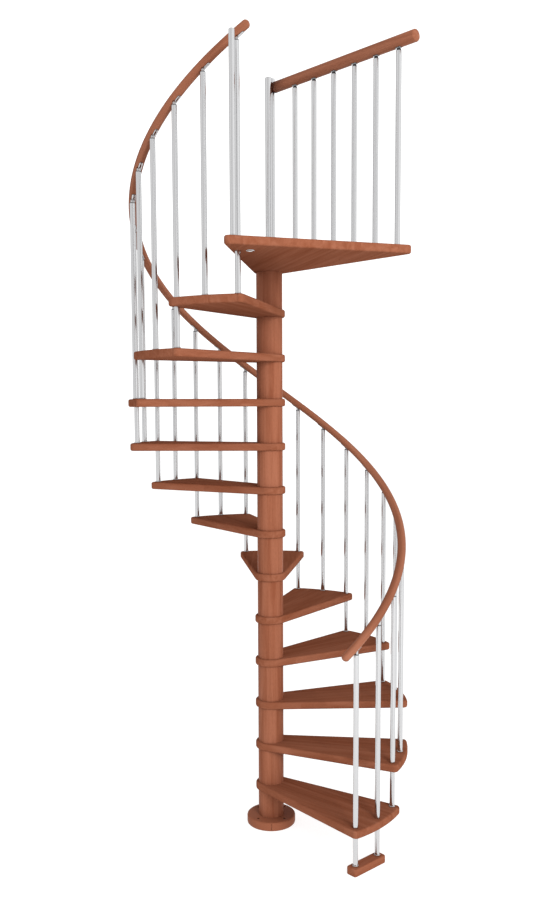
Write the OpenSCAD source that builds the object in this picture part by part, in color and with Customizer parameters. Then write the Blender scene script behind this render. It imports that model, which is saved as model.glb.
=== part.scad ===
// Spiral staircase: wooden treads and spacers threaded on a steel pole,
// a three-cornered landing, chromed balusters and round wooden handrails.
// Origin: centre of the underside of the base disc. +Z up, +X to the right, +Y to the back.

/* [Climb] */
// Height from one tread to the next
rise = 220; // [180:1:240]
// Number of treads below the landing
tread_count = 12; // [6:1:14]
// Turn from one tread to the next, in degrees, anticlockwise seen from above
tread_turn = 26.08; // [22:0.02:30]
// Direction of the lowest baluster, in degrees from +X
first_angle = -54.4; // [-180:0.1:180]

/* [Column] */
// Diameter of the steel pole that carries the stair
pole_d = 48; // [40:1:60]
// Diameter of the newel post that stands on the pole, above the landing
newel_d = 34; // [25:1:46]
// Gap kept between the newel post and the landing handrail beside it
newel_clear = 0.5; // [0.3:0.1:3]
// Height of the newel post above the landing, cap included
newel_h = 896; // [860:1:1100]
// Height of the chromed caps on the newel post and the two end posts
cap_h = 6; // [4:1:12]
// Diameter of the wooden spacers between the treads
spacer_d = 130; // [100:1:150]
// Diameter of the wooden base disc
base_d = 250; // [220:1:300]
// Height of the wooden base disc
base_h = 45; // [30:1:60]
// Diameter of the circle of screw holes in the base disc
base_screw_pcd = 190; // [170:1:200]
// Diameter of each screw hole in the base disc
base_screw_d = 11; // [6:0.5:14]
// Number of screw holes in the base disc
base_screws = 4; // [3:1:8]
// Gap around the pole in the wooden pieces
pole_fit = 0.3; // [0.1:0.1:0.8]

/* [Treads] */
// Thickness of a tread
tread_h = 38; // [28:1:50]
// Wood beyond the baluster circle at a tread's outer end
tread_nose = 34; // [26:1:60]
// Diameter of the tread's round eye on the column
eye_d = 156; // [152:1:180]
// Wood left beyond the baluster circle's end tubes, along the tread's outer end
tread_lap = 31; // [26:1:50]
// Rounding of a tread's outer corners
tread_corner_r = 24; // [10:1:30]

/* [Landing] */
// Distance from the baluster circle out to the landing's front edge
landing_nose = 59; // [40:1:150]
// Length of the landing's front edge, to its sharp corners
landing_width = 868; // [700:1:1100]
// Thickness of the landing
landing_h = 38; // [28:1:50]
// Turn from the highest stair baluster to the middle of the landing, in degrees
landing_turn = 29.4; // [28:0.1:36]
// Rounding of the landing's front corners
landing_corner_r = 22; // [10:1:30]
// Diameter of the cap under the landing
under_cap_d = 36; // [20:1:60]
// Height of the cap under the landing
under_cap_h = 5; // [3:1:10]
// Turn from the highest stair baluster to the cap under the landing, in degrees
under_cap_turn = 4.6; // [4:0.1:9]

/* [Balusters] */
// Distance from the column's axis to the stair balusters
baluster_r = 668; // [560:1:860]
// Diameter of a stair baluster
tube_d = 25; // [20:1:30]
// Height of the lowest baluster's top above its own tread
tube_rise = 817; // [750:1:1000]
// Gap around a baluster where it passes through wood
tube_fit = 0.3; // [0.1:0.1:0.8]
// Diameter of the collar at the foot of a baluster
collar_d = 32; // [30:1:45]
// Height of the collar at the foot of a baluster
collar_h = 6; // [3:1:15]
// Gap between a collar and its baluster
collar_fit = 0.2; // [0.1:0.1:0.5]
// Height of the wooden block under the two lowest balusters
block_h = 38; // [25:1:60]
// Width of the wooden block under the two lowest balusters
block_w = 58; // [45:1:80]
// Length of the block beyond each of its two balusters
block_lap = 32; // [28:1:50]
// Rounding of the block's corners
block_corner_r = 12; // [5:1:20]

/* [Handrails] */
// Width of the stair handrail
rail_d = 42; // [36:1:54]
// Height of the stair handrail, square to its slope
rail_h = 37; // [32:1:54]
// Distance of the stair handrail's centre line in from the baluster circle
rail_inset = 5; // [0:1:8]
// Height of a bracket from the baluster's top to its saddle plate
bracket_h = 10; // [10:1:40]
// Diameter of a bracket's neck
neck_d = 14; // [10:1:20]
// Length of the stair handrail beyond its lowest baluster
rail_foot = 88; // [50:1:150]
// Length of the stair handrail beyond its highest baluster
rail_head = 65; // [50:1:150]
// Thickness of a saddle plate
saddle_h = 3; // [2:0.5:5]
// Length of a saddle plate
saddle_l = 60; // [40:1:90]
// Width of a saddle plate
saddle_w = 20; // [16:1:30]

/* [Landing railing] */
// Number of balusters on the landing
landing_tubes = 6; // [3:1:8]
// Distance from the railing's end post to its first baluster
landing_tube_first = 158; // [100:1:200]
// Distance from one landing baluster to the next
landing_tube_pitch = 126; // [80:1:126]
// Length of the landing handrail beyond its last baluster
landing_rail_end = 98; // [40:1:120]
// Distance of the landing railing from the landing's side edge
railing_in = 34; // [28:1:44]
// Distance of the end post back from the column's axis, along the railing
end_post_back = 19; // [10:1:40]
// Height of the end post above the landing, cap included
end_post_h = 906; // [880:1:1100]
// Diameter of the landing handrail
landing_rail_d = 52; // [40:1:60]
// Height of the landing handrail's centre above the landing
landing_rail_z = 861; // [780:1:1050]
// Gap between the end post and the end of the landing handrail
socket_gap = 4; // [3:0.5:15]
// Diameter of the socket between the end post and the landing handrail
socket_d = 20; // [12:1:24]
// Distance of the corner post from the landing's front edge
corner_post_in = 34; // [28:1:60]
// Distance of the corner post from the landing's side edge
corner_post_side = 34; // [28:1:60]
// Height of the corner post above the landing, cap included
corner_post_h = 818; // [750:1:1100]

/* [Hidden] */
function two(k) = str(k < 10 ? "0" : "", k);
SPACERS = [for (k = [1:tread_count + 1]) str("spacer_", two(k))];
TREADS = [for (k = [1:tread_count]) str("tread_", two(k))];

WOOD = "#9c5a3f";
CHROME = "#cfd2d6";
$fn = 96;

last_tube = 2 * tread_count;
landing_top = (tread_count + 1) * rise;
landing_mid = tube_angle(last_tube) + landing_turn;
eye_r = eye_d / 2;
rail_r = rail_d / 2;
landing_rail_r = landing_rail_d / 2;
tread_r = baluster_r + tread_nose;
landing_depth = baluster_r + landing_nose;
rail_circle_r = baluster_r - rail_inset;
rail_slope = atan(rise / (rail_circle_r * tread_turn * PI / 180));
seat_gap = 0.3;
facet_depth = 0.15;

// The balusters stand on one circle, two to a tread; baluster 0 is the lowest.
function tube_angle(j) = first_angle + j * tread_turn / 2;
function tube_top(j) = rise + tube_rise + j * rise / 2;
function tread_top(k) = k * rise;
function tread_angle(k) = tube_angle(2 * k - 1);
function on_circle(r, a) = [r * cos(a), r * sin(a)];

// Foot of baluster j: on the floor block, or on the tread that it stands on.
function tube_foot(j) = j < 2 ? block_h : tread_top(j % 2 == 0 ? j / 2 : (j + 1) / 2);

// Direction of the common outer normal of two discs [x, y, r], going anticlockwise.
function normal_angle(p, q) =
    let (step = [q.x - p.x, q.y - p.y])
    atan2(step.y, step.x) - acos(max(-1, min(1, (p.z - q.z) / norm(step))));

// Points of an arc from direction a round to direction b, with facets that keep to facet_depth.
function arc(disc, a, b) =
    let (sweep = b - a - 360 * floor((b - a) / 360),
        count = ceil(sweep * PI / 180 / sqrt(8 * facet_depth / disc.z)))
    [for (i = [0:count]) [disc.x, disc.y] + on_circle(disc.z, a + sweep * i / count)];

// Outline that wraps a ring of discs [x, y, r], listed anticlockwise.
module wrap(discs) {
    n = len(discs);
    polygon([for (i = [0:n - 1])
        let (disc = discs[i], before = discs[(i + n - 1) % n], after = discs[(i + 1) % n])
        each arc(disc, normal_angle(before, disc), normal_angle(disc, after))]);
}

module tube(d, z_low, z_high) {
    translate([0, 0, z_low]) cylinder(h = z_high - z_low, d = d);
}

module at_tube(j) {
    rotate(tube_angle(j)) translate([baluster_r, 0, 0]) children();
}

// A tread, pointing along +X, with its underside on z = 0.
corner_angle = tread_turn / 2 + asin(tread_lap / baluster_r)
    - asin(tread_corner_r / (tread_r - tread_corner_r));
corner_at = tread_r - tread_corner_r;

module tread_plan() {
    low = on_circle(corner_at, -corner_angle);
    high = on_circle(corner_at, corner_angle);
    wrap([[0, 0, eye_r], [low.x, low.y, tread_corner_r], [0, 0, tread_r], [high.x, high.y, tread_corner_r]]);
}

module tread(k) {
    color(WOOD) difference() {
        translate([0, 0, tread_top(k) - tread_h]) rotate(tread_angle(k))
            linear_extrude(tread_h) tread_plan();
        tube(pole_d + 2 * pole_fit, 0, landing_top);
        for (j = k == 1 ? [0, 1] : [2 * k - 2])
            at_tube(j) tube(tube_d + 2 * tube_fit, 0, landing_top);
    }
}

module spacer(k) {
    z_low = k == 1 ? base_h : tread_top(k - 1);
    z_high = k > tread_count ? landing_top - landing_h : tread_top(k) - tread_h;
    color(WOOD) difference() {
        tube(spacer_d, z_low, z_high);
        tube(pole_d + 2 * pole_fit, z_low - 1, z_high + 1);
    }
}

module base_disc() {
    color(WOOD) difference() {
        tube(base_d, 0, base_h);
        tube(pole_d + 2 * pole_fit, -1, base_h + 1);
        for (i = [0:base_screws - 1])
            rotate(360 / base_screws * (i + 0.5)) translate([base_screw_pcd / 2, 0, 0])
                tube(base_screw_d, -1, base_h + 1);
    }
}

module centre_pole() {
    color(CHROME) tube(pole_d, 0, landing_top);
}

// The landing, with its middle along +X and its underside on z = 0.
landing_side = atan(landing_width / 2 / landing_depth);
landing_corner = [landing_depth, landing_width / 2];
side_angle = landing_side - asin(eye_r / norm(landing_corner));
corner_half = (90 - side_angle) / 2;
corner_back = landing_corner_r / tan(corner_half);

module landing_plan() {
    x = landing_depth - landing_corner_r;
    y = landing_width / 2 - corner_back;
    wrap([[0, 0, eye_r], [x, -y, landing_corner_r], [x, y, landing_corner_r]]);
}

module landing() {
    color(WOOD) difference() {
        translate([0, 0, landing_top - landing_h]) rotate(landing_mid)
            linear_extrude(landing_h) landing_plan();
        tube(pole_d + 2 * pole_fit, 0, landing_top + 1);
        at_tube(last_tube) tube(tube_d + 2 * tube_fit, 0, landing_top + 1);
    }
}

module under_cap() {
    color(CHROME) rotate(tube_angle(last_tube) + under_cap_turn) translate([baluster_r, 0, 0])
        tube(under_cap_d, landing_top - landing_h - under_cap_h, landing_top - landing_h);
}

module floor_block() {
    reach = baluster_r * sin(tread_turn / 4) + block_lap - block_corner_r;
    side = block_w / 2 - block_corner_r;
    mid_r = baluster_r * cos(tread_turn / 4);
    color(WOOD) rotate(tube_angle(0.5)) translate([mid_r, 0, 0]) linear_extrude(block_h)
        wrap([for (s = [[-1, -1], [1, -1], [1, 1], [-1, 1]])
            [s.x * side, s.y * reach, block_corner_r]]);
}

module front_balusters() {
    color(CHROME) for (j = [0:2:last_tube])
        at_tube(j) tube(tube_d, tube_foot(j), tube_top(j));
}

module middle_balusters() {
    color(CHROME) for (j = [1:2:last_tube])
        at_tube(j) tube(tube_d, tube_foot(j), tube_top(j));
}

// A collar round the foot of a post of diameter d.
module collar(d, z) {
    difference() {
        tube(collar_d + d - tube_d, z, z + collar_h);
        tube(d + 2 * collar_fit, z - 1, z + collar_h + 1);
    }
}

module baluster_collars() {
    color(CHROME) for (j = [0:last_tube]) at_tube(j) collar(tube_d, tube_foot(j));
}

// Centre line of the stair handrail, above baluster circle angle t (in balusters from the lowest).
rail_over = bracket_h + (saddle_h + seat_gap + rail_h / 2) / cos(rail_slope);
function rail_centre(t) = concat(on_circle(rail_circle_r, tube_angle(t)), [tube_top(t) + rail_over]);

// One oval ring of the handrail at t, shrunk to a share of its full size.
rail_sides = 20;
function rail_ring(t, share) =
    let (c = rail_centre(t), out = concat(on_circle(1, tube_angle(t)), [0]),
        up = [sin(tube_angle(t)) * sin(rail_slope), -cos(tube_angle(t)) * sin(rail_slope), cos(rail_slope)])
    [for (i = [0:rail_sides - 1]) let (a = 360 / rail_sides * i) c + share * (rail_r * cos(a) * out + rail_h / 2 * sin(a) * up)];

tube_step = rail_circle_r * tread_turn / 2 * PI / 180 / cos(rail_slope);
rail_rings = 4 * last_tube;
dome_length = 0.8 * rail_r;
module stair_handrail() {
    t_low = -rail_foot / tube_step;
    t_high = last_tube + rail_head / tube_step;
    dome_t = dome_length / tube_step;
    rings = [
        for (a = [75:-20:15]) rail_ring(t_low + dome_t * (1 - sin(a)), cos(a)),
        for (i = [0:rail_rings]) rail_ring(t_low + dome_t
            + (t_high - t_low - 2 * dome_t) * i / rail_rings, 1),
        for (a = [15:20:75]) rail_ring(t_high - dome_t * (1 - sin(a)), cos(a))];
    last = len(rings) - 1;
    color(WOOD) polyhedron(
        [for (ring = rings) each ring],
        concat(
            [[for (i = [0:rail_sides - 1]) i]],
            [for (r = [0:last - 1], i = [0:rail_sides - 1]) let (n = (i + 1) % rail_sides)
                each [[r * rail_sides + i, (r + 1) * rail_sides + i, (r + 1) * rail_sides + n],
                      [r * rail_sides + i, (r + 1) * rail_sides + n, r * rail_sides + n]]],
            [[for (i = [0:rail_sides - 1]) last * rail_sides + rail_sides - 1 - i]]));
}

// A bracket on a baluster's top: a neck that carries a saddle plate, tilted and set over as the rail is.
module bracket(slope, over) {
    drop = saddle_h / 2 / cos(slope);
    difference() {
        tube(neck_d, 0, bracket_h + drop);
        translate([0, 0, bracket_h + drop]) rotate([slope, 0, 0])
            translate([-tube_d, -tube_d, 0]) cube([2 * tube_d, 2 * tube_d, 4 * tube_d]);
    }
    translate([over, 0, bracket_h + drop]) rotate([slope, 0, 0])
        translate([-saddle_w / 2, -saddle_l / 2, -saddle_h / 2]) cube([saddle_w, saddle_l, saddle_h]);
}

module handrail_brackets() {
    color(CHROME) for (j = [0:last_tube])
        at_tube(j) translate([0, 0, tube_top(j)]) bracket(rail_slope, rail_circle_r - baluster_r);
}

// The landing railing runs from an end post beside the newel post, parallel to one side of the landing.
railing_angle = landing_mid + side_angle;
landing_tube_top = landing_rail_z - landing_rail_r - seat_gap - saddle_h - bracket_h;
landing_rail_low = tube_d / 2 + socket_gap;
landing_rail_high = landing_tube_first + (landing_tubes - 1) * landing_tube_pitch + landing_rail_end;

module along_railing(u) {
    rotate(railing_angle) translate([u - end_post_back, eye_r - railing_in, landing_top]) children();
}

module at_landing_tube(i) {
    along_railing(landing_tube_first + i * landing_tube_pitch) children();
}

module landing_balusters() {
    color(CHROME) for (i = [0:landing_tubes - 1])
        at_landing_tube(i) tube(tube_d, 0, landing_tube_top);
}

module landing_collars() {
    color(CHROME) {
        for (i = [0:landing_tubes - 1]) at_landing_tube(i) collar(tube_d, 0);
        along_railing(0) collar(tube_d, 0);
        at_corner_post() collar(tube_d, 0);
        translate([0, 0, landing_top]) collar(newel_d, 0);
    }
}

module landing_brackets() {
    color(CHROME) for (i = [0:landing_tubes - 1])
        at_landing_tube(i) translate([0, 0, landing_tube_top]) rotate(90) bracket(0, 0);
}

module landing_handrail() {
    length = landing_rail_high - landing_rail_low;
    end_bulge = landing_rail_r / 3;
    color(WOOD) difference() {
        along_railing(landing_rail_low) translate([0, 0, landing_rail_z])
            rotate([0, 90, 0]) rotate_extrude() polygon([
                [0, 0], [landing_rail_r, 0], [landing_rail_r, length - end_bulge],
                for (a = [15:15:90]) [landing_rail_r * cos(a), length - end_bulge * (1 - sin(a))]]);
        tube(newel_d + 2 * newel_clear, landing_top, landing_top + newel_h);
    }
}

module newel_post() {
    color(CHROME) tube(newel_d, landing_top, landing_top + newel_h - cap_h);
}

module end_post() {
    color(CHROME) along_railing(0) tube(tube_d, 0, end_post_h - cap_h);
}

module rail_socket() {
    color(CHROME) along_railing(0) difference() {
        translate([0, 0, landing_rail_z]) rotate([0, 90, 0]) tube(socket_d, 0, landing_rail_low);
        tube(tube_d, 0, 2 * landing_rail_z);
    }
}

module at_corner_post() {
    side_point = [landing_depth - corner_post_in, landing_width / 2
        - corner_post_side / cos(side_angle) - corner_post_in * tan(side_angle)];
    rotate(landing_mid) translate([side_point.x, -side_point.y, landing_top]) children();
}

module corner_post() {
    color(CHROME) at_corner_post() tube(tube_d, 0, corner_post_h - cap_h);
}

// A rounded cap on a post of diameter d.
module post_cap(d) {
    rotate_extrude() polygon([
        [0, 0], [d / 2, 0],
        for (a = [0:15:90]) [d / 2 - cap_h / 2 * (1 - cos(a)), cap_h / 2 * (1 + sin(a))],
        [0, cap_h]]);
}

module post_caps() {
    color(CHROME) {
        translate([0, 0, landing_top + newel_h - cap_h]) post_cap(newel_d);
        along_railing(0) translate([0, 0, end_post_h - cap_h]) post_cap(tube_d);
        at_corner_post() translate([0, 0, corner_post_h - cap_h]) post_cap(tube_d);
    }
}

base_disc();
centre_pole();
for (k = [1:tread_count + 1]) spacer(k);
for (k = [1:tread_count]) tread(k);
landing();
under_cap();
floor_block();
front_balusters();
middle_balusters();
baluster_collars();
stair_handrail();
handrail_brackets();
landing_balusters();
landing_collars();
landing_handrail();
landing_brackets();
newel_post();
end_post();
rail_socket();
corner_post();
post_caps();
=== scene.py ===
# %% [markdown]
# # A spiral staircase in cherry-stained beech and chrome
#
# The real object is a kit stair: wedge-shaped treads and turned wooden sleeves are threaded on a
# steel pole, chromed tubes stand round the outside, and an oval handrail climbs over them.
# The CAD frame already holds every piece at its true size and place. This script loads that frame,
# then gives each piece the softened edges, the turned profiles and the finishes of the real one.

# %% Load the frame
import math
import random

import bpy
from mathutils import Matrix, Vector


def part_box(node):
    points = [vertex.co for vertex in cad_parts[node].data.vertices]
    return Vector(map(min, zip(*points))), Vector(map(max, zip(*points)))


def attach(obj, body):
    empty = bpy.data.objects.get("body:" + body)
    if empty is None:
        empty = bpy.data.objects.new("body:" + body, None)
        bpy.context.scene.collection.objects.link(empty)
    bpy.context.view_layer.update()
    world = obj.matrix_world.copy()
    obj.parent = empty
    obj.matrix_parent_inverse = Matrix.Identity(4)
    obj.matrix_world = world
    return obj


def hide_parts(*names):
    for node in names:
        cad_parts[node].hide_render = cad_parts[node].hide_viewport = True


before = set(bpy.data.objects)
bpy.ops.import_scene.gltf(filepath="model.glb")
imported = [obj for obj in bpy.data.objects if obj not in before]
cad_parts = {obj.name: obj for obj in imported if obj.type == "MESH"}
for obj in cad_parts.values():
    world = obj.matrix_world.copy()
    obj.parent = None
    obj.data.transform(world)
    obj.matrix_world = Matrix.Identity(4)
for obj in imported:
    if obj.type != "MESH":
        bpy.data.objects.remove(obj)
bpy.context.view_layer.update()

# %% [markdown]
# ## Sizes
#
# Blender measures in metres and a workshop drawing in millimetres, so sizes are written as
# millimetres times MM.

# %% The drawing's numbers
MM = 0.001
RISE = 220 * MM  # from one tread to the next
TREADS = 12
TREAD_TURN = 26.08  # degrees from one tread to the next
FIRST_TUBE = -54.4  # direction of the lowest baluster, degrees
LAST_TUBE = 2 * TREADS  # number of the highest baluster; there are two to a tread
TUBE_CIRCLE = 668 * MM  # radius on which the balusters stand
TUBE_D = 25 * MM
FIRST_TUBE_TOP = 1037 * MM  # height of the lowest baluster's top
RAIL_CIRCLE = 663 * MM  # radius of the stair rail's centre line
RAIL_R, RAIL_HALF_H = 21 * MM, 18.5 * MM  # half the oval rail's width and height
LANDING_RAIL_R = 26 * MM
EYE_R = 78 * MM  # the round part of a tread on the column
LANDING_TURN = 29.4  # degrees from the last baluster to the middle of the landing
LANDING_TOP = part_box("landing")[1].z
LANDING_MID = FIRST_TUBE + LAST_TUBE * TREAD_TURN / 2 + LANDING_TURN


def tube_angle(j):
    """Direction of stair baluster j, in degrees; number 0 is the lowest."""
    return FIRST_TUBE + j * TREAD_TURN / 2


def tube_foot(j):
    """Height at which baluster j stands."""
    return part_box("floor_block")[1].z if j < 2 else (j + 1) // 2 * RISE


def tube_top(j):
    """Height of baluster j's top."""
    return FIRST_TUBE_TOP + j * RISE / 2


def on_circle(radius, degrees, z=0.0):
    """The point on a circle round the column, at height z."""
    angle = math.radians(degrees)
    return Vector((radius * math.cos(angle), radius * math.sin(angle), z))


print("landing top", round(LANDING_TOP, 3), "m")
print("highest baluster top", round(tube_top(LAST_TUBE), 3), "m")

# %% [markdown]
# ## One way to make every solid
#
# A tread, a turned sleeve, a collar and a handrail have one thing in common: each is a stack of
# closed outlines with the same number of points. A modeller could extrude, lathe and sweep them
# with three different tools. One function that skins a stack of rings does all three, and it can
# store for each point where it lay in the plank it was cut from, which is what the wood needs.

# %% Skin a stack of rings
random.seed(12)
PLANK_SPREAD = 9  # metres over which pieces take their place in the endless plank


def skin(rings, plank):
    """Vertices, faces and plank coordinates of a closed solid through rings of points.
    plank(ring number, point) gives a point's place in the plank, X along the grain."""
    count = len(rings[0])
    shift = Vector([random.uniform(0, PLANK_SPREAD) for _ in range(3)])
    points = [p for ring in rings for p in ring]
    planks = [plank(r, p) + shift for r, ring in enumerate(rings) for p in ring]
    sides = []
    for r in range(len(rings) - 1):
        low, high = r * count, (r + 1) * count
        sides += [(low + i, low + (i + 1) % count, high + (i + 1) % count, high + i)
                  for i in range(count)]
    last = (len(rings) - 1) * count
    caps = [tuple(reversed(range(count))), tuple(last + i for i in range(count))]
    return points, sides, caps, planks


def make_piece(name, solids, material, slot, *replaced, place=None):
    """One object from several skinned solids, riding on the stair, in place of its CAD nodes."""
    points, faces, planks, smooth = [], [], [], []
    for solid_points, sides, caps, solid_planks in solids:
        start = len(points)
        points += solid_points
        planks += solid_planks
        faces += [tuple(start + i for i in face) for face in sides + caps]
        smooth += [True] * len(sides) + [False] * len(caps)
    mesh = bpy.data.meshes.new(name)
    mesh.from_pydata(points, [], faces)
    mesh.polygons.foreach_set("use_smooth", smooth)
    plank = mesh.attributes.new("plank", "FLOAT_VECTOR", "POINT")
    plank.data.foreach_set("vector", [c for p in planks for c in p])
    if place:
        mesh.transform(place)
    mesh.materials.append(material)
    piece = bpy.data.objects.new(name, mesh)
    bpy.context.scene.collection.objects.link(piece)
    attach(piece, "root")
    if replaced:
        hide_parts(*replaced)
    return piece


def check_box(piece, *nodes):
    """Prints how far the piece's box stands outside that of the CAD nodes it replaces, in mm."""
    low = Vector(map(min, zip(*(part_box(n)[0] for n in nodes))))
    high = Vector(map(max, zip(*(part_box(n)[1] for n in nodes))))
    points = [v.co for v in piece.data.vertices]
    over = [max(low[i] - min(p[i] for p in points), max(p[i] for p in points) - high[i])
            for i in range(3)]
    print(f"{piece.name}: {len(piece.data.polygons)} faces, outside its CAD box by",
          [round(o / MM, 2) for o in over], "mm")


# %% [markdown]
# ## Colour and nodes
#
# Paint charts and stain samples are written as sRGB hex values, but light adds up in linear
# values, so one function turns the one into the other. Materials are built from nodes, and one
# small function adds a node, sets it and links it, so that each finish reads as a list.

# %% Colour and node helpers
def linear(hex_colour):
    """sRGB hex to linear RGBA."""
    parts = [int(hex_colour[i:i + 2], 16) / 255 for i in (1, 3, 5)]
    return tuple(c / 12.92 if c <= 0.04045 else ((c + 0.055) / 1.055) ** 2.4
                 for c in parts) + (1.0,)


def add(tree, kind, links=None, inputs=None, stops=None, **settings):
    """Adds a node, sets its properties, inputs and ramp stops, and links outputs into it."""
    node = tree.nodes.new("ShaderNode" + kind)
    for key, value in settings.items():
        setattr(node, key, value)
    for i, (position, colour) in enumerate(stops or []):
        if i >= len(node.color_ramp.elements):
            node.color_ramp.elements.new(1.0)
        stop = node.color_ramp.elements[i]
        stop.position, stop.color = position, colour
    for key, value in (inputs or {}).items():
        node.inputs[key].default_value = value
    for key, socket in (links or {}).items():
        tree.links.new(socket, node.inputs[key])
    return node


def new_material(name):
    """An empty node material with its output, and its tree."""
    material = bpy.data.materials.new(name)
    material.use_nodes = True
    material.node_tree.nodes.clear()
    return material, material.node_tree


print("stain #804d38 is linear", [round(c, 3) for c in linear("#804d38")[:3]])

# %% [markdown]
# ## Cherry-stained beech, satin lacquer
#
# Beech is a pale, close-grained wood. Stained cherry red and lacquered it gives the eye two
# things: a quiet lengthwise figure, and a slight change of shade from one glued stave to the
# next. Wider bands are growth rings cut along the grain, a few centimetres apart. The ray flecks
# of beech are 2 mm long and thinner than a hair, too fine to show from across a room, so they
# are drawn about 15 mm long and 2 mm wide. Here and there is a small pin knot. An image of wood
# would have to be unwrapped on every board; nodes that read the plank coordinates cut the same
# endless plank at a new place for each board instead.
# Lacquer has an IOR of 1.5, and a satin one a roughness near 0.45. Its specular level would be
# 0.5. Here it is turned down to nearly nothing, and that is a choice for the picture, not a
# property of lacquer: in a room that is white all round, even a tenth of it lays a grey veil on
# every board seen edge-on. For another, darker room, raise shine again.

# %% The wood finish
KNOT_BROWN = "#37160f"
# how many pattern cells fit in a metre: along the grain, across it, and through the board
RINGS_PER_METRE = (1.6, 30, 30)  # growth rings: 625 mm long, 33 mm apart
FLECKS_PER_METRE = (65, 480, 480)  # ray flecks: 15 by 2 mm
KNOT_CELLS_PER_METRE = (3.8, 8.3, 8.3)  # room for one knot: 260 by 120 mm
STAVE_JUMP = (3, 3, 3)  # metres of endless plank between one stave and the next


def stained_beech(name, stave, stave_contrast, shine, stains):
    """Beech from staves of the given width in metres. stave_contrast is how far their shades
    differ, shine the lacquer's specular level, and stains its dark, middle and light shades."""
    material, tree = new_material(name)
    plank = add(tree, "Attribute", attribute_name="plank").outputs["Vector"]
    across = add(tree, "SeparateXYZ", links={"Vector": plank}).outputs["Y"]
    stave_number = add(tree, "Math", links={0: across}, inputs={1: 1 / stave},
                       operation="MULTIPLY").outputs[0]
    stave_floor = add(tree, "Math", links={0: stave_number}, operation="FLOOR").outputs[0]
    stave_shade = add(tree, "TexWhiteNoise", links={"W": stave_floor}, noise_dimensions="1D")
    jump = add(tree, "VectorMath", links={0: stave_shade.outputs["Color"]},
               inputs={1: STAVE_JUMP}, operation="MULTIPLY")
    board = add(tree, "VectorMath", links={0: plank, 1: jump.outputs[0]},
                operation="ADD").outputs[0]
    # growth rings that wander a little
    rings = add(tree, "Mapping", links={"Vector": board}, inputs={"Scale": RINGS_PER_METRE})
    figure = add(tree, "TexNoise", links={"Vector": rings.outputs[0]},
                 inputs={"Scale": 1.0, "Detail": 3.0, "Roughness": 0.55, "Distortion": 0.6})
    dashes = add(tree, "Mapping", links={"Vector": board}, inputs={"Scale": FLECKS_PER_METRE})
    fleck = add(tree, "TexNoise", links={"Vector": dashes.outputs[0]},
                inputs={"Scale": 1.0, "Detail": 2.0})
    # pin knots: in three cells of ten, each of its own size
    cells = add(tree, "Mapping", links={"Vector": board}, inputs={"Scale": KNOT_CELLS_PER_METRE})
    knot = add(tree, "TexVoronoi", links={"Vector": cells.outputs[0]}, inputs={"Scale": 1.0})
    chosen = add(tree, "SeparateXYZ", links={"Vector": knot.outputs["Color"]}).outputs["X"]
    size = add(tree, "MapRange", links={"Value": chosen},
               inputs={"From Min": 0.7, "From Max": 1.0, "To Min": 0.0, "To Max": 0.09}).outputs[0]
    edge = add(tree, "Math", links={0: knot.outputs["Distance"], 1: size},
               operation="SUBTRACT").outputs[0]
    knot_mask = add(tree, "MapRange", links={"Value": edge},
                    inputs={"From Min": 0.0, "From Max": -0.05, "To Min": 0.0,
                            "To Max": 0.8}).outputs[0]
    base = add(tree, "ValToRGB", links={"Fac": figure.outputs["Fac"]},
               stops=[(place, linear(stain)) for place, stain in zip((0.30, 0.50, 0.72), stains)])
    shade = add(tree, "MapRange", links={"Value": stave_shade.outputs["Value"]},
                inputs={"From Min": 0.0, "From Max": 1.0, "To Min": 1 - stave_contrast,
                        "To Max": 1 + stave_contrast}).outputs[0]
    fleck_shade = add(tree, "MapRange", links={"Value": fleck.outputs["Fac"]},
                      inputs={"From Min": 0.25, "From Max": 0.75, "To Min": 0.90,
                              "To Max": 1.08}).outputs[0]
    both = add(tree, "Math", links={0: shade, 1: fleck_shade}, operation="MULTIPLY").outputs[0]
    toned = add(tree, "VectorMath", links={0: base.outputs["Color"], "Scale": both},
                operation="SCALE").outputs[0]
    colour = add(tree, "Mix", links={"Factor": knot_mask, "A": toned},
                 inputs={"B": linear(KNOT_BROWN)[:3]}, data_type="VECTOR")
    gloss = add(tree, "MapRange", links={"Value": figure.outputs["Fac"]},
                inputs={"From Min": 0.2, "From Max": 0.8, "To Min": 0.52,
                        "To Max": 0.42}).outputs[0]
    bump = add(tree, "Bump", links={"Height": fleck.outputs["Fac"]},
               inputs={"Strength": 0.08, "Distance": 0.3 * MM})
    surface = add(tree, "BsdfPrincipled",
                  links={"Base Color": colour.outputs["Result"], "Roughness": gloss,
                         "Normal": bump.outputs[0]},
                  inputs={"IOR": 1.5, "Specular IOR Level": shine})
    add(tree, "OutputMaterial", links={"Surface": surface.outputs[0]})
    return material


# treads, landing and floor block: boards glued from staves
tread_beech = stained_beech("stave_laminated_beech", 58 * MM, 0.035, 0.0,
                            ("#77442f", "#804d38", "#895641"))
# sleeves and base disc: blocks glued up, then turned on a lathe
sleeve_beech = stained_beech("turned_beech", 65 * MM, 0.035, 0.03,
                             ("#79442f", "#87523c", "#925c46"))
# handrails: staves wider than the rail, so no joint shows
rail_beech = stained_beech("handrail_beech", 400 * MM, 0.0, 0.04,
                           ("#784834", "#86543f", "#93604a"))
# nearly black beech: on the landing rail's near end it is painted shade, the posts' shadow; the
# base plugs are drawn with it too
dark_beech_and_painted_shade = stained_beech("near_black_beech_painted_shade", 400 * MM, 0.0, 0.0,
                          ("#2c130c", "#351911", "#3f2016"))
print("wood finishes:", tread_beech.name, sleeve_beech.name, rail_beech.name, dark_beech_and_painted_shade.name)

# %% [markdown]
# ## Chrome, zinc and black nylon
#
# The tubes are drawn steel, polished and chrome plated: a mirror with faint lengthwise drawing
# marks. A round mirror squeezes the whole room into bright and grey lines along the tube. Chrome
# is fully metallic, so its IOR is left alone, and its roughness is a little over 0.1. The pole
# inside the sleeves is zinc plated, duller. The plugs in the tubes' tops and the pads under the
# rails are moulded black nylon with a fine grain. One function makes both metals, since only the
# colour and the roughness differ.

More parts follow.
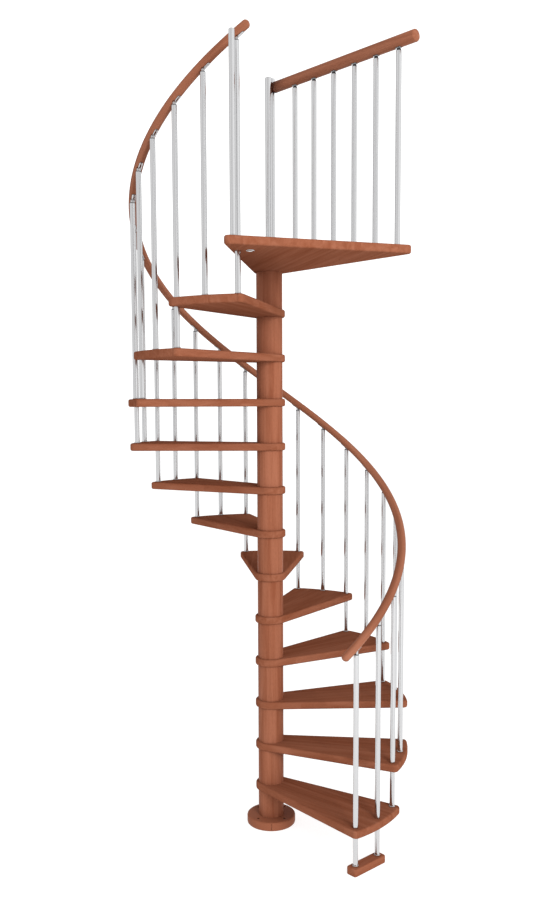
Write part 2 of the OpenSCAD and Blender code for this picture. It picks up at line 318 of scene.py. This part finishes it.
# %% The other finishes
MARKS_PER_METRE = (1000, 1000, 25)  # drawing marks: 1 mm apart, 40 mm long, upright


def plated_steel(name, colour, low, high):
    """A plated tube: roughness wanders from low to high in lines 40 mm long and 1 mm apart."""
    material, tree = new_material(name)
    place = add(tree, "TexCoord").outputs["Object"]
    marks = add(tree, "Mapping", links={"Vector": place}, inputs={"Scale": MARKS_PER_METRE})
    drawn = add(tree, "TexNoise", links={"Vector": marks.outputs[0]},
                inputs={"Scale": 1.0, "Detail": 2.0})
    rough = add(tree, "MapRange", links={"Value": drawn.outputs["Fac"]},
                inputs={"From Min": 0.3, "From Max": 0.7, "To Min": low, "To Max": high}).outputs[0]
    surface = add(tree, "BsdfPrincipled", links={"Roughness": rough},
                  inputs={"Base Color": linear(colour), "Metallic": 1.0})
    add(tree, "OutputMaterial", links={"Surface": surface.outputs[0]})
    return material


chrome = plated_steel("polished_chrome", "#c6c6c7", 0.10, 0.18)
zinc = plated_steel("zinc_plate", "#b4b8bb", 0.30, 0.45)

black_nylon, nylon_tree = new_material("black_nylon")
nylon_place = add(nylon_tree, "TexCoord").outputs["Object"]
nylon_grain = add(nylon_tree, "TexNoise", links={"Vector": nylon_place},
                  inputs={"Scale": 1 / (0.8 * MM), "Detail": 1.0})
nylon_colour = add(nylon_tree, "ValToRGB", links={"Fac": nylon_grain.outputs["Fac"]},
                   stops=[(0.3, linear("#17171a")), (0.7, linear("#26262a"))])
nylon_bump = add(nylon_tree, "Bump", links={"Height": nylon_grain.outputs["Fac"]},
                 inputs={"Strength": 0.2, "Distance": 0.1 * MM})
nylon_surface = add(nylon_tree, "BsdfPrincipled", inputs={"Roughness": 0.5, "IOR": 1.53},
                    links={"Base Color": nylon_colour.outputs["Color"],
                           "Normal": nylon_bump.outputs[0]})
add(nylon_tree, "OutputMaterial", links={"Surface": nylon_surface.outputs[0]})
print("metals and plastic:", chrome.name, zinc.name, black_nylon.name)

# %% [markdown]
# ## Treads and landing
#
# A tread is sawn from a laminated board, 38 mm thick, and every edge is routed to a soft round
# that catches the light. Its outline is a band pulled round four discs: the eye on the column,
# the two small outer corners and the large outer arc. Insetting that outline only makes each disc
# smaller, so a stack of inset outlines gives a true quarter-round edge. A bevel modifier would
# also do it, but would bevel the baluster holes too. The grain runs from the column outwards.

# %% Outlines round discs
EDGE_ROUND = 9 * MM
EDGE_STEPS = 5
ARC_STEP = 7  # degrees between points on a small disc
WIDE_ARC_STEP = 1.5  # and on one over 200 mm in radius
WIDE_DISC = 200 * MM


def normal_angle(p, q):
    """Direction of the common outer normal of two discs (x, y, r), in degrees."""
    step = Vector((q[0] - p[0], q[1] - p[1]))
    cosine = max(-1, min(1, (p[2] - q[2]) / step.length))
    return math.degrees(math.atan2(step.y, step.x) - math.acos(cosine))


def wrapped(discs, inset, z):
    """The outline round discs listed anticlockwise, drawn in by inset."""
    points = []
    for before, disc, after in zip(discs[-1:] + discs[:-1], discs, discs[1:] + discs[:1]):
        start, end = normal_angle(before, disc), normal_angle(disc, after)
        sweep = (end - start) % 360
        steps = max(4, math.ceil(sweep / (ARC_STEP if disc[2] < WIDE_DISC else WIDE_ARC_STEP)))
        centre, radius = Vector((disc[0], disc[1], 0)), disc[2] - inset
        points += [centre + on_circle(radius, start + sweep * i / steps, z)
                   for i in range(steps + 1)]
    return points


def rounded_stack(discs, low, high, radius):
    """Outlines from low to high whose top and bottom edges are quarter rounds."""
    turns = [math.radians(i * 90 / EDGE_STEPS) for i in range(EDGE_STEPS + 1)]
    below = [(radius * (1 - math.sin(a)), low + radius * (1 - math.cos(a))) for a in turns]
    above = [(inset, low + high - z) for inset, z in reversed(below)]
    return [wrapped(discs, inset, z) for inset, z in below + above]


# %% Treads
TREAD_R, TREAD_CORNER_R, TREAD_LAP = 702 * MM, 24 * MM, 31 * MM
corner_angle = (TREAD_TURN / 2 + math.degrees(math.asin(TREAD_LAP / TUBE_CIRCLE))
                - math.degrees(math.asin(TREAD_CORNER_R / (TREAD_R - TREAD_CORNER_R))))
corner_low = on_circle(TREAD_R - TREAD_CORNER_R, -corner_angle)
tread_discs = [(0, 0, EYE_R), (corner_low.x, corner_low.y, TREAD_CORNER_R), (0, 0, TREAD_R),
               (corner_low.x, -corner_low.y, TREAD_CORNER_R)]  # x, y and radius, anticlockwise


def along_board(ring_number, point):
    """Grain along X."""
    return point.copy()


for k in range(1, TREADS + 1):
    node = f"tread_{k:02d}"
    low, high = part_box(node)
    board = skin(rounded_stack(tread_discs, low.z, high.z, EDGE_ROUND), along_board)
    turn = Matrix.Rotation(math.radians(tube_angle(2 * k - 1)), 4, "Z")
    tread = make_piece(f"tread_board_{k:02d}", [board], tread_beech, "tread_wood", node, place=turn)
    if k in (1, TREADS):
        check_box(tread, node)

# %% [markdown]
# ## Landing
#
# At the top the stair ends in a three-cornered board of the same laminated beech. Its point is
# the same round eye as a tread's, and its long side meets the upper floor. It could be drawn as
# a triangle with three fillets; the outline round three discs is shorter and gives it exactly
# the treads' edge.

# %% Landing
LANDING_DEPTH, LANDING_WIDTH, LANDING_CORNER_R = 727 * MM, 868 * MM, 22 * MM
corner_distance = math.hypot(LANDING_DEPTH, LANDING_WIDTH / 2)
side_angle = math.degrees(math.atan2(LANDING_WIDTH / 2, LANDING_DEPTH)
                          - math.asin(EYE_R / corner_distance))
corner_back = LANDING_CORNER_R / math.tan(math.radians((90 - side_angle) / 2))
corner_x, corner_y = LANDING_DEPTH - LANDING_CORNER_R, LANDING_WIDTH / 2 - corner_back
landing_discs = [(0, 0, EYE_R), (corner_x, -corner_y, LANDING_CORNER_R),
                 (corner_x, corner_y, LANDING_CORNER_R)]
low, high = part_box("landing")
board = skin(rounded_stack(landing_discs, low.z, high.z, EDGE_ROUND), along_board)
turn = Matrix.Rotation(math.radians(LANDING_MID), 4, "Z")
landing = make_piece("landing_board", [board], tread_beech, "tread_wood", "landing", place=turn)
check_box(landing, "landing")

# %% [markdown]
# ## Turned sleeves
#
# The column is a row of turned wooden sleeves, one between each pair of treads, with the grain
# upright and the rims just eased so that each joint reads as a fine line. Blender could lathe a
# profile with a screw modifier. On a lathe a shape is a profile spun round its axis, and here
# that is a stack of circles, so the same skin function makes it and knows its grain.

# %% Lathe
SLEEVE_EASE = 1.2 * MM


def upright(ring_number, point):
    """Grain along Z."""
    return Vector((point.z, point.x, point.y))


def turned(profile, sides=72, plank=upright):
    """A solid spun round Z from (radius, height) pairs, lowest first."""
    rings = [[on_circle(radius, 360 * i / sides, z) for i in range(sides)]
             for radius, z in profile]
    return skin(rings, plank)


def eased(radius, low, high, ease):
    """Profile of a cylinder whose two rims are rounded by ease."""
    turns = [math.radians(a) for a in (0, 30, 60, 90)]
    rim = [(radius - ease * (1 - math.sin(a)), ease * (1 - math.cos(a))) for a in turns]
    return [(r, low + z) for r, z in rim] + [(r, high - z) for r, z in reversed(rim)]


for k in range(1, TREADS + 2):
    node = f"spacer_{k:02d}"
    low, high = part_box(node)
    solid = turned(eased(high.x, low.z, high.z, SLEEVE_EASE))
    sleeve = make_piece(f"column_sleeve_{k:02d}", [solid], sleeve_beech, "wood", node)
check_box(sleeve, node)

# %% [markdown]
# ## Base disc
#
# The base is a thick turned disc in two halves that covers the foot plate. It is screwed down
# through four holes, closed here with dark plugs. The holes and the joint between the halves are
# cut with a boolean, as a drill and a saw would cut them: a painted line wouldn't catch the light.

# %% Base disc
SCREW_CIRCLE, SCREW_HOLE_R, SCREW_HOLE_DEEP = 95 * MM, 7 * MM, 20 * MM
SAW_HALF_W, SAW_DEEP = 0.6 * MM, 3 * MM
BASE_EASE = 8 * MM


def cut(piece, cutters):
    """Takes the cutter solids out of piece for good."""
    cutter = make_piece("cutter", cutters, black_nylon, "wood")
    modifier = piece.modifiers.new("cut", "BOOLEAN")
    modifier.operation, modifier.solver, modifier.object = "DIFFERENCE", "EXACT", cutter
    bpy.context.view_layer.update()
    evaluated = piece.evaluated_get(bpy.context.evaluated_depsgraph_get())
    done = bpy.data.meshes.new_from_object(evaluated)
    piece.modifiers.remove(modifier)
    piece.data = done
    bpy.data.objects.remove(cutter)


def shifted(solid, offset):
    """A copy of a skinned solid, moved by offset."""
    points, sides, caps, planks = solid
    return [p + offset for p in points], sides, caps, planks


base_r, base_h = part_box("base_disc")[1].x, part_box("base_disc")[1].z
base = make_piece("base_cover", [turned(eased(base_r, 0, base_h, BASE_EASE), 96, along_board)],
                  sleeve_beech, "wood", "base_disc")
hole_foot = base_h - SCREW_HOLE_DEEP
hole = turned([(SCREW_HOLE_R, hole_foot), (SCREW_HOLE_R, base_h + 2 * MM)], 24)
saw_corners = ((-SAW_HALF_W, -base_r - MM), (SAW_HALF_W, -base_r - MM),
               (SAW_HALF_W, -base_r + SAW_DEEP), (-SAW_HALF_W, -base_r + SAW_DEEP))
saw = skin([[Vector((x, y, z)) for x, y in saw_corners] for z in (-MM, base_h + MM)], along_board)
screw_places = [on_circle(SCREW_CIRCLE, 90 * i + 45) for i in range(4)]
cut(base, [shifted(hole, place) for place in screw_places])
cut(base, [saw])
plug_profile = [(6.9 * MM, hole_foot), (6.9 * MM, base_h - 1.6 * MM),
                (5.6 * MM, base_h - 0.8 * MM)]
base_plugs = make_piece("base_screw_plugs",
                        [shifted(turned(plug_profile, 24), place) for place in screw_places],
                        dark_beech_and_painted_shade, "wood")
check_box(base, "base_disc")

# %% [markdown]
# ## Floor block
#
# The two lowest balusters have no tread under them, so they stand in a small wooden block on the
# floor. It is one more rounded board, a rectangle round four discs, with its grain along it.

# %% Floor block
BLOCK_W, BLOCK_LAP, BLOCK_CORNER_R, BLOCK_EASE = 58 * MM, 32 * MM, 12 * MM, 6 * MM
half_pitch = math.radians(TREAD_TURN / 4)
reach = TUBE_CIRCLE * math.sin(half_pitch) + BLOCK_LAP - BLOCK_CORNER_R
side = BLOCK_W / 2 - BLOCK_CORNER_R
block_discs = [(x * side, y * reach, BLOCK_CORNER_R)
               for x, y in ((-1, -1), (1, -1), (1, 1), (-1, 1))]
low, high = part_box("floor_block")
block_place = (Matrix.Rotation(math.radians(tube_angle(0.5)), 4, "Z")
               @ Matrix.Translation((TUBE_CIRCLE * math.cos(half_pitch), 0, 0)))
solid = skin(rounded_stack(block_discs, low.z, high.z, BLOCK_EASE),
             lambda r, p: Vector((p.y, p.x, p.z)))
block = make_piece("floor_block_wood", [solid], tread_beech, "wood", "floor_block",
                   place=block_place)
check_box(block, "floor_block")

# %% [markdown]
# ## Stair rail
#
# The stair rail is oval, 42 mm wide and 37 mm high, and is bent into a helix that climbs half a
# rise from one baluster to the next. Its ends are domed. A curve with a bevel would give the
# shape, but rings placed along the path give the grain too: each ring knows how far along the
# bar it is, so the figure follows the bend as it does when wood is steamed and bent.

# %% Stair rail
RAIL_SIDES, RINGS_PER_TUBE = 28, 8
BRACKET_H, SADDLE_H, SEAT_GAP = 10 * MM, 3 * MM, 0.3 * MM
RAIL_FOOT, RAIL_HEAD = 88 * MM, 65 * MM  # how far the rail runs past its end balusters
STAVE_MIDDLE = 0.1  # metres: well inside one 400 mm stave
rail_slope = math.atan(RISE / (RAIL_CIRCLE * math.radians(TREAD_TURN)))
rail_over = BRACKET_H + (SADDLE_H + SEAT_GAP + RAIL_HALF_H) / math.cos(rail_slope)
tube_step = RAIL_CIRCLE * math.radians(TREAD_TURN / 2) / math.cos(rail_slope)


def rail_frame(t):
    """Centre, outward and upward direction of the stair rail at baluster count t."""
    a = math.radians(tube_angle(t))
    out = Vector((math.cos(a), math.sin(a), 0))
    level, climb = math.cos(rail_slope), math.sin(rail_slope)
    ahead = Vector((-math.sin(a) * level, math.cos(a) * level, climb))
    centre = on_circle(RAIL_CIRCLE, tube_angle(t), tube_top(t) + rail_over)
    return centre, out, ahead.cross(out) * -1


def bar_solid(stations, at, half_w, half_h):
    """A wooden bar of oval section with its grain along its length. stations are (distance,
    share of the full size) pairs, and at(distance) gives the centre, outward and upward there."""
    turns = [2 * math.pi * i / RAIL_SIDES for i in range(RAIL_SIDES)]
    rings, flat = [], []
    shift = Vector((random.uniform(0, PLANK_SPREAD), STAVE_MIDDLE,
                    random.uniform(0, PLANK_SPREAD)))
    for distance, share in stations:
        centre, out, up = at(distance)
        rings.append([centre + share * (half_w * math.cos(a) * out + half_h * math.sin(a) * up)
                      for a in turns])
        flat += [Vector((distance, half_w * math.cos(a), half_h * math.sin(a))) + shift
                 for a in turns]
    points, sides, caps, _ = skin(rings, along_board)
    return points, sides, caps, flat


def domed(low, high, count, dome=0.8 * RAIL_R):
    """Stations of a bar from low to high with domed ends."""
    turns = [math.radians(a) for a in (84, 70, 54, 38, 22, 8)]
    caps = [(dome * (1 - math.sin(a)), math.cos(a)) for a in turns]
    inner = [low + dome + (high - low - 2 * dome) * i / count for i in range(1, count)]
    return ([(low + d, share) for d, share in caps] + [(d, 1) for d in inner]
            + [(high - d, share) for d, share in reversed(caps)])


stations = domed(-RAIL_FOOT, LAST_TUBE * tube_step + RAIL_HEAD, RINGS_PER_TUBE * LAST_TUBE)
solid = bar_solid(stations, lambda d: rail_frame(d / tube_step), RAIL_R, RAIL_HALF_H)
stair_rail = make_piece("stair_rail_wood", [solid], rail_beech, "rail_wood", "stair_handrail")
check_box(stair_rail, "stair_handrail")

# %% [markdown]
# ## Landing rail
#
# The landing rail is a straight round bar, 52 mm thick and slightly bulged at its far end. Its
# near end, at the end post, lies in the posts' shadow, and that shade is painted on as a nearly
# black band 12 mm long. A cylinder would do for the shape; the bar function already carries
# the grain along it and takes the bulge as stations.

# %% Landing rail
RAILING_IN, END_POST_BACK, LANDING_RAIL_Z = 34 * MM, 19 * MM, 861 * MM
FIRST_BALUSTER, BALUSTER_PITCH, LANDING_TUBES, RAIL_END = 158 * MM, 126 * MM, 6, 98 * MM
SOCKET_GAP = 4 * MM
RAIL_START = TUBE_D / 2 + SOCKET_GAP
# the dark end is painted shade: a nearly black band where the posts shade the rail
PAINTED_SHADE_L = 12 * MM  # length of the dark end
STATION_GAP = 0.1  # metres between rings along the bar
railing_angle = LANDING_MID + side_angle
railing = (Matrix.Rotation(math.radians(railing_angle), 4, "Z")
           @ Matrix.Translation((-END_POST_BACK, EYE_R - RAILING_IN, LANDING_TOP)))
rail_axis_out, rail_axis_up = railing.to_3x3() @ Vector((0, -1, 0)), Vector((0, 0, 1))
rail_length_end = FIRST_BALUSTER + (LANDING_TUBES - 1) * BALUSTER_PITCH + RAIL_END
bulge_turns = [math.radians(a) for a in (0, 20, 40, 60, 75, 85)]
bulge = [(rail_length_end - LANDING_RAIL_R / 3 * (1 - math.sin(a)), math.cos(a))
         for a in bulge_turns]
# stations of that band of painted shade at the near end
rim = [(RAIL_START, 0.94), (RAIL_START + 0.8 * MM, 0.98), (RAIL_START + 2 * MM, 1),
       (RAIL_START + PAINTED_SHADE_L, 1)]
straight = [(RAIL_START + PAINTED_SHADE_L, 1)] + [(RAIL_START + STATION_GAP * i, 1) for i in range(1, 8)]


def landing_rail_frame(distance):
    """Centre, outward and upward direction of the landing rail at a distance along it."""
    return railing @ Vector((distance, 0, LANDING_RAIL_Z)), rail_axis_out, rail_axis_up


def landing_bar(stations):
    """A stretch of the landing rail through (distance, share of the radius) stations."""
    return bar_solid(stations, landing_rail_frame, LANDING_RAIL_R, LANDING_RAIL_R)


landing_rail = make_piece("landing_rail_wood", [landing_bar(straight + bulge)], rail_beech,
                          "rail_wood", "landing_handrail")
# the near end band: nearly black wood painted for the posts' shadow
landing_rail_painted_shade = make_piece("landing_rail_painted_shade_band", [landing_bar(rim)], dark_beech_and_painted_shade, "rail_wood")
check_box(landing_rail, "landing_handrail")

# %% [markdown]
# ## Foot collars
#
# Where a tube enters wood, a small chromed ring hides the edge of the hole. In the frame it is a
# plain ring; here its rim is turned to a soft round. A torus would be too fat: the real ring has
# upright sides and is only a few millimetres high.

# %% Foot collars
COLLAR_PROFILE = ((2.4, 0), (2.4, 4.6), (1.9, 5.6), (1.0, 6.0))  # mm beyond the tube, mm up
NEWEL_R = 17 * MM


def collar(radius, z):
    """A short ring with upright sides and a rounded rim, round the foot of a tube."""
    return turned([(radius + out * MM, z + up * MM) for out, up in COLLAR_PROFILE], 40)


rings = [shifted(collar(TUBE_D / 2, tube_foot(j)), on_circle(TUBE_CIRCLE, tube_angle(j)))
         for j in range(LAST_TUBE + 1)]
stair_collars = make_piece("stair_foot_collars", rings, chrome, "chrome", "baluster_collars")
check_box(stair_collars, "baluster_collars")


def node_centre(node):
    """The middle of a node's box in plan, at height 0."""
    low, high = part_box(node)
    return Vector(((low.x + high.x) / 2, (low.y + high.y) / 2, 0))


landing_places = [railing @ Vector((FIRST_BALUSTER + i * BALUSTER_PITCH, 0, 0))
                  for i in range(LANDING_TUBES)]
rings = [shifted(collar(TUBE_D / 2, 0), place) for place in landing_places]
rings += [shifted(collar(TUBE_D / 2, LANDING_TOP), node_centre(n))
          for n in ("end_post", "corner_post")]
rings += [collar(NEWEL_R, LANDING_TOP)]
landing_collars = make_piece("landing_foot_collars", rings, chrome, "chrome", "landing_collars")
check_box(landing_collars, "landing_collars")

# %% [markdown]
# ## Saddle brackets
#
# Under the rail, every baluster ends in a black nylon plug, a waisted neck, a thin black pad and
# a chromed saddle plate that cups the rail, held by two screws. The necks are chromed on the
# stair and black on the landing. In the frame each bracket is a plain block on a neck; too small
# to make out from where the camera stands, it is drawn here as a usual kind. The plate could be
# a box with a bend modifier; stacking bent outlines lets its ends narrow as well.

# %% Saddle brackets
PAD_T, PLATE_T, PLATE_GAP = 1.0 * MM, 1.8 * MM, 0.1 * MM
STAIR_PLATE_L, STAIR_SPREAD = 48 * MM, 24  # length, and degrees round the rail each way
LANDING_PLATE_L, LANDING_SPREAD = 26 * MM, 18
# place along half the plate and share of its full width, from end to end
PLATE_OUTLINE = ((-1, 0.45), (-0.95, 0.72), (-0.83, 0.94), (-0.66, 1.0), (-0.25, 1.0),
                 (0.25, 1.0), (0.66, 1.0), (0.83, 0.94), (0.95, 0.72), (1, 0.45))
SCREW_PLACES = (-0.34, 0.34)  # shares of the plate's length
SCREW_PROFILE = ((1.8, -1.3), (3.0, -0.8), (3.4, 0.4))  # radius and height, mm
# radius and height, mm, of the neck and of the ring round its foot
NECK_PROFILE = ((9.6, 3.0), (10.6, 3.4), (10.6, 4.4), (9.0, 5.6), (8.4, 7.4), (9.0, None))
PLUG_PROFILE = ((11.8, 0), (11.8, 2.6), (11.0, 3.2))


def bent_plate(centre, ahead, out, up, inner, thickness, length, spread):
    """A plate with rounded ends, bent round the rail's underside at the given inner radius."""
    rings = []
    for share_along, share_wide in PLATE_OUTLINE:
        arc = [math.radians(-90 + spread * share_wide * s) for s in (-1, -0.6, -0.2, 0.2, 0.6, 1)]
        ring = [(inner + thickness, a) for a in arc] + [(inner, a) for a in reversed(arc)]
        middle = centre + ahead * share_along * length / 2
        rings.append([middle + r * (math.cos(a) * out + math.sin(a) * up) for r, a in ring])
    return skin(rings, along_board)


def screw_head(foot, ahead, out, up):
    """A low domed screw head that stands out downwards from foot."""
    turns = [2 * math.pi * i / 16 for i in range(16)]
    return skin([[foot + up * z * MM + radius * MM * (math.cos(a) * out + math.sin(a) * ahead)
                  for a in turns] for radius, z in SCREW_PROFILE], along_board)


def waisted(foot, height, profile):
    """A small turned post from (radius, height) pairs in mm; None stands for its full height."""
    pairs = [(r * MM, height if z is None else z * MM) for r, z in profile]
    return shifted(turned(pairs, 32), foot)


def bracket(top, centre, ahead, out, up, rail_half, length, spread):
    """The chromed, the black and the neck solids of one bracket, from a tube's top to the rail
    at centre."""
    height = (centre - top).length - rail_half * 0.9
    neck = [waisted(top, height, NECK_PROFILE)]
    black = [waisted(top, height, PLUG_PROFILE),
             bent_plate(centre, ahead, out, up, rail_half + PLATE_GAP, PAD_T, length + 2 * MM,
                        spread + 3)]
    plate_low = rail_half + PLATE_GAP + PAD_T
    bright = [bent_plate(centre, ahead, out, up, plate_low, PLATE_T, length, spread)]
    bright += [screw_head(centre + ahead * share * length - up * (plate_low + PLATE_T),
                          ahead, out, up) for share in SCREW_PLACES]
    return bright, black, neck


bright_parts, black_parts = [], []
for j in range(LAST_TUBE + 1):
    centre, out, up = rail_frame(j)
    bright, black, neck = bracket(on_circle(TUBE_CIRCLE, tube_angle(j), tube_top(j)), centre,
                                  out.cross(up) * -1, out, up, RAIL_HALF_H, STAIR_PLATE_L,
                                  STAIR_SPREAD)
    bright_parts += bright + neck
    black_parts += black
stair_brackets = make_piece("stair_rail_brackets", bright_parts, chrome, "chrome",
                            "handrail_brackets")
stair_plugs = make_piece("stair_rail_pads", black_parts, black_nylon, "chrome")
check_box(stair_brackets, "handrail_brackets")

bright_parts, black_parts = [], []
landing_tube_top = LANDING_RAIL_Z - LANDING_RAIL_R - SEAT_GAP - SADDLE_H - BRACKET_H
rail_ahead = railing.to_3x3() @ Vector((1, 0, 0))
for place in landing_places:
    bright, black, neck = bracket(place + Vector((0, 0, landing_tube_top)),
                                  place + Vector((0, 0, LANDING_RAIL_Z)), rail_ahead,
                                  rail_axis_out, rail_axis_up, LANDING_RAIL_R, LANDING_PLATE_L,
                                  LANDING_SPREAD)
    bright_parts += bright
    black_parts += black + neck
landing_brackets = make_piece("landing_rail_brackets", bright_parts, chrome, "chrome",
                              "landing_brackets")
landing_plugs = make_piece("landing_rail_pads", black_parts, black_nylon, "chrome")
check_box(landing_brackets, "landing_brackets")

# %% [markdown]
# ## Cap under the landing
#
# A shallow chromed cap closes a hole in the landing's underside. It is a domed button, so a few
# turned rings are enough; a flattened sphere would have no upright rim to meet the wood.

# %% Cap under the landing
CAP_RISE_1, CAP_RISE_2 = 1.2 * MM, 2.8 * MM
cap_low, cap_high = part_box("under_cap")
cap_r = (cap_high.x - cap_low.x) / 2
cap_profile = [(cap_r * 0.55, cap_low.z), (cap_r * 0.85, cap_low.z + CAP_RISE_1),
               (cap_r * 0.97, cap_low.z + CAP_RISE_2), (cap_r, cap_high.z)]
under_cap = make_piece("landing_under_cap",
                       [shifted(turned(cap_profile, 40), node_centre("under_cap"))],
                       chrome, "chrome", "under_cap")
check_box(under_cap, "under_cap")

# %% [markdown]
# ## Tubes and posts
#
# The balusters and posts are plain round tubes, and the frame's own solids have exactly that
# shape, so they stay and only take the chrome finish: building them again would add nothing. The
# pole shows nowhere but is there, zinc plated, inside its sleeves.

# %% Finish the frame's own tubes
for node in ("front_balusters", "middle_balusters", "landing_balusters", "newel_post", "end_post",
             "corner_post", "post_caps", "rail_socket", "centre_pole"):
    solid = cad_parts[node]
    solid.data.materials.clear()
    solid.data.materials.append(zinc if node == "centre_pole" else chrome)
    print(node, "faces", len(solid.data.polygons))

# %% [markdown]
# ## Camera
#
# The view is that of someone standing four and a half metres away with the camera 2.16 m above
# the lower floor, tilted down five degrees, through a lens of about 36 mm. The lens is shifted a
# little upwards to frame the tall stair instead of tilting further, as an architect's camera does.

# %% Camera
CAMERA_HEIGHT, CAMERA_DISTANCE = 2.1636, 4.5726
PITCH, ROLL = math.radians(5.122), math.radians(-0.233)
LENS, SENSOR, SHIFT_UP = 36.24, 36, 0.0415
forward = Vector((0, math.cos(PITCH), -math.sin(PITCH)))
level_right = Vector((1, 0, 0))
level_up = level_right.cross(forward)
right = level_right * math.cos(ROLL) + level_up * math.sin(ROLL)
up = level_up * math.cos(ROLL) - level_right * math.sin(ROLL)
camera_data = bpy.data.cameras.new("viewer")
camera_data.lens, camera_data.sensor_width, camera_data.shift_y = LENS, SENSOR, SHIFT_UP
camera = bpy.data.objects.new("viewer", camera_data)
camera.matrix_world = (Matrix.Translation((0, -CAMERA_DISTANCE, CAMERA_HEIGHT))
                       @ Matrix((right, up, -forward)).transposed().to_4x4())
bpy.context.scene.collection.objects.link(camera)
bpy.context.scene.camera = camera
print("camera at", [round(v, 3) for v in camera.matrix_world.translation])

# %% [markdown]
# ## Floor
#
# The stair stands in a white studio. Its floor is plain and pale, and it gives off some light of
# its own, which no real floor does: that keeps it white to the horizon with hardly a shadow, the
# way a product is shown. Without the glow it would come out grey against the white room.

# %% Floor
FLOOR_GLOW = 0.83
FLOOR_R = 60  # metres, so that its edge is never seen
FLOOR_GAP = 0.0005  # metres below the stair, so that no faces coincide
floor_material, floor_tree = new_material("studio_floor")
floor_place = add(floor_tree, "TexCoord").outputs["Object"]
floor_noise = add(floor_tree, "TexNoise", links={"Vector": floor_place},
                  inputs={"Scale": 40.0})
floor_colour = add(floor_tree, "ValToRGB", links={"Fac": floor_noise.outputs["Fac"]},
                   stops=[(0.3, linear("#9d9d9d")), (0.7, linear("#a2a2a2"))])
floor_surface = add(floor_tree, "BsdfPrincipled",
                    links={"Base Color": floor_colour.outputs["Color"]},
                    inputs={"Roughness": 0.9, "Emission Color": (1, 1, 1, 1),
                            "Emission Strength": FLOOR_GLOW})
add(floor_tree, "OutputMaterial", links={"Surface": floor_surface.outputs[0]})
floor_mesh = bpy.data.meshes.new("studio_floor")
floor_mesh.from_pydata([on_circle(FLOOR_R, 360 * i / 64, -FLOOR_GAP) for i in range(64)], [],
                       [tuple(range(64))])
floor_mesh.materials.append(floor_material)
floor = bpy.data.objects.new("studio_floor", floor_mesh)
bpy.context.scene.collection.objects.link(floor)
print("floor", 2 * FLOOR_R, "m across, glow", FLOOR_GLOW)

# %% [markdown]
# ## Room
#
# To the camera the room is plain white. Its light and its mirror image are shaded: bright at eye
# level and dimmer overhead, which keeps the boards' tops darker than their edges and makes the
# treads read as thick. Chrome shows what stands round it, so grey panels draw grey lines along
# the tubes. A real studio uses card for this; shades over the compass need no objects.

# %% Room
ROOM_BRIGHT, ROOM_OVERHEAD = 1.3, 0.85
world = bpy.data.worlds.new("studio")
bpy.context.scene.world = world
world.use_nodes = True
sky = world.node_tree
sky.nodes.clear()
direction = add(sky, "TexCoord").outputs["Generated"]
height = add(sky, "SeparateXYZ", links={"Vector": direction}).outputs["Z"]
# a height of 0.45 is 27 degrees up, and 0.8 is 53 degrees
overhead = add(sky, "MapRange", links={"Value": height},
               inputs={"From Min": 0.45, "From Max": 0.8, "To Min": ROOM_BRIGHT,
                       "To Max": ROOM_OVERHEAD})
compass = add(sky, "TexGradient", links={"Vector": direction},
              gradient_type="RADIAL").outputs["Fac"]
# once round is 0 to 1 from -X: the viewer is at 0.25, +X at 0.5, and 0.01 is 3.6 degrees
shades = [(0.00, 0.80), (0.12, 0.92), (0.14, 0.70), (0.22, 0.70), (0.24, 0.84), (0.33, 0.84),
          (0.35, 1.04), (0.42, 1.04), (0.44, 1.05), (0.60, 0.80), (0.62, 0.58), (0.88, 0.58),
          (0.90, 0.70)]
panels = add(sky, "ValToRGB", links={"Fac": compass},
             stops=[(place, (shade, shade, shade, 1)) for place, shade in shades])
background = add(sky, "Background", links={"Color": panels.outputs["Color"],
                                           "Strength": overhead.outputs[0]})
# the eye sees plain white paper behind the stair; only its light and its mirror image are shaded
paper = add(sky, "Background", inputs={"Color": (1, 1, 1, 1), "Strength": ROOM_BRIGHT})
seen = add(sky, "LightPath").outputs["Is Camera Ray"]
room = add(sky, "MixShader", links={0: seen, 1: background.outputs[0], 2: paper.outputs[0]})
add(sky, "OutputWorld", links={"Surface": room.outputs[0]})
print("room:", len(shades), "shades, strength", ROOM_BRIGHT, "level,", ROOM_OVERHEAD, "overhead")

# %% [markdown]
# ## Lamp
#
# One broad soft lamp stands in front, a little to the right, and lights the boards' front edges.
# It is hidden from the camera, which would see it as a grey patch from behind the stair, and
# from reflections, where it would lay a hard white bar over the grey lines in every tube.

# %% Lamp
LAMP_W, LAMP_H, LAMP_POWER = 2.6, 4.0, 440  # metres and watts
LAMP_PLACE, LAMP_AIM = Vector((3.0, -6.3, 4.2)), Vector((-3.0, 6.3, -2.5))
lamp_data = bpy.data.lights.new("front_lamp", "AREA")
lamp_data.shape, lamp_data.size, lamp_data.size_y = "RECTANGLE", LAMP_W, LAMP_H
lamp_data.energy = LAMP_POWER
lamp = bpy.data.objects.new("front_lamp", lamp_data)
bpy.context.scene.collection.objects.link(lamp)
lamp.matrix_world = (Matrix.Translation(LAMP_PLACE)
                     @ LAMP_AIM.to_track_quat("-Z", "Y").to_matrix().to_4x4())
lamp.visible_glossy = False
lamp.visible_camera = False
# Standard keeps the stains as mixed and lets white be white
bpy.context.scene.view_settings.view_transform = "Standard"
print("lamp", [round(v, 2) for v in lamp.location], "m, power", lamp_data.energy, "W")

# %% [markdown]
# ## Measure and finish
#
# The last step brings the scene up to date. Rounding edges must not make the stair any bigger
# than it is; as the pieces were made, check_box printed how far several stand outside their frame
# nodes' boxes.

# %% Finish
bpy.context.view_layer.update()
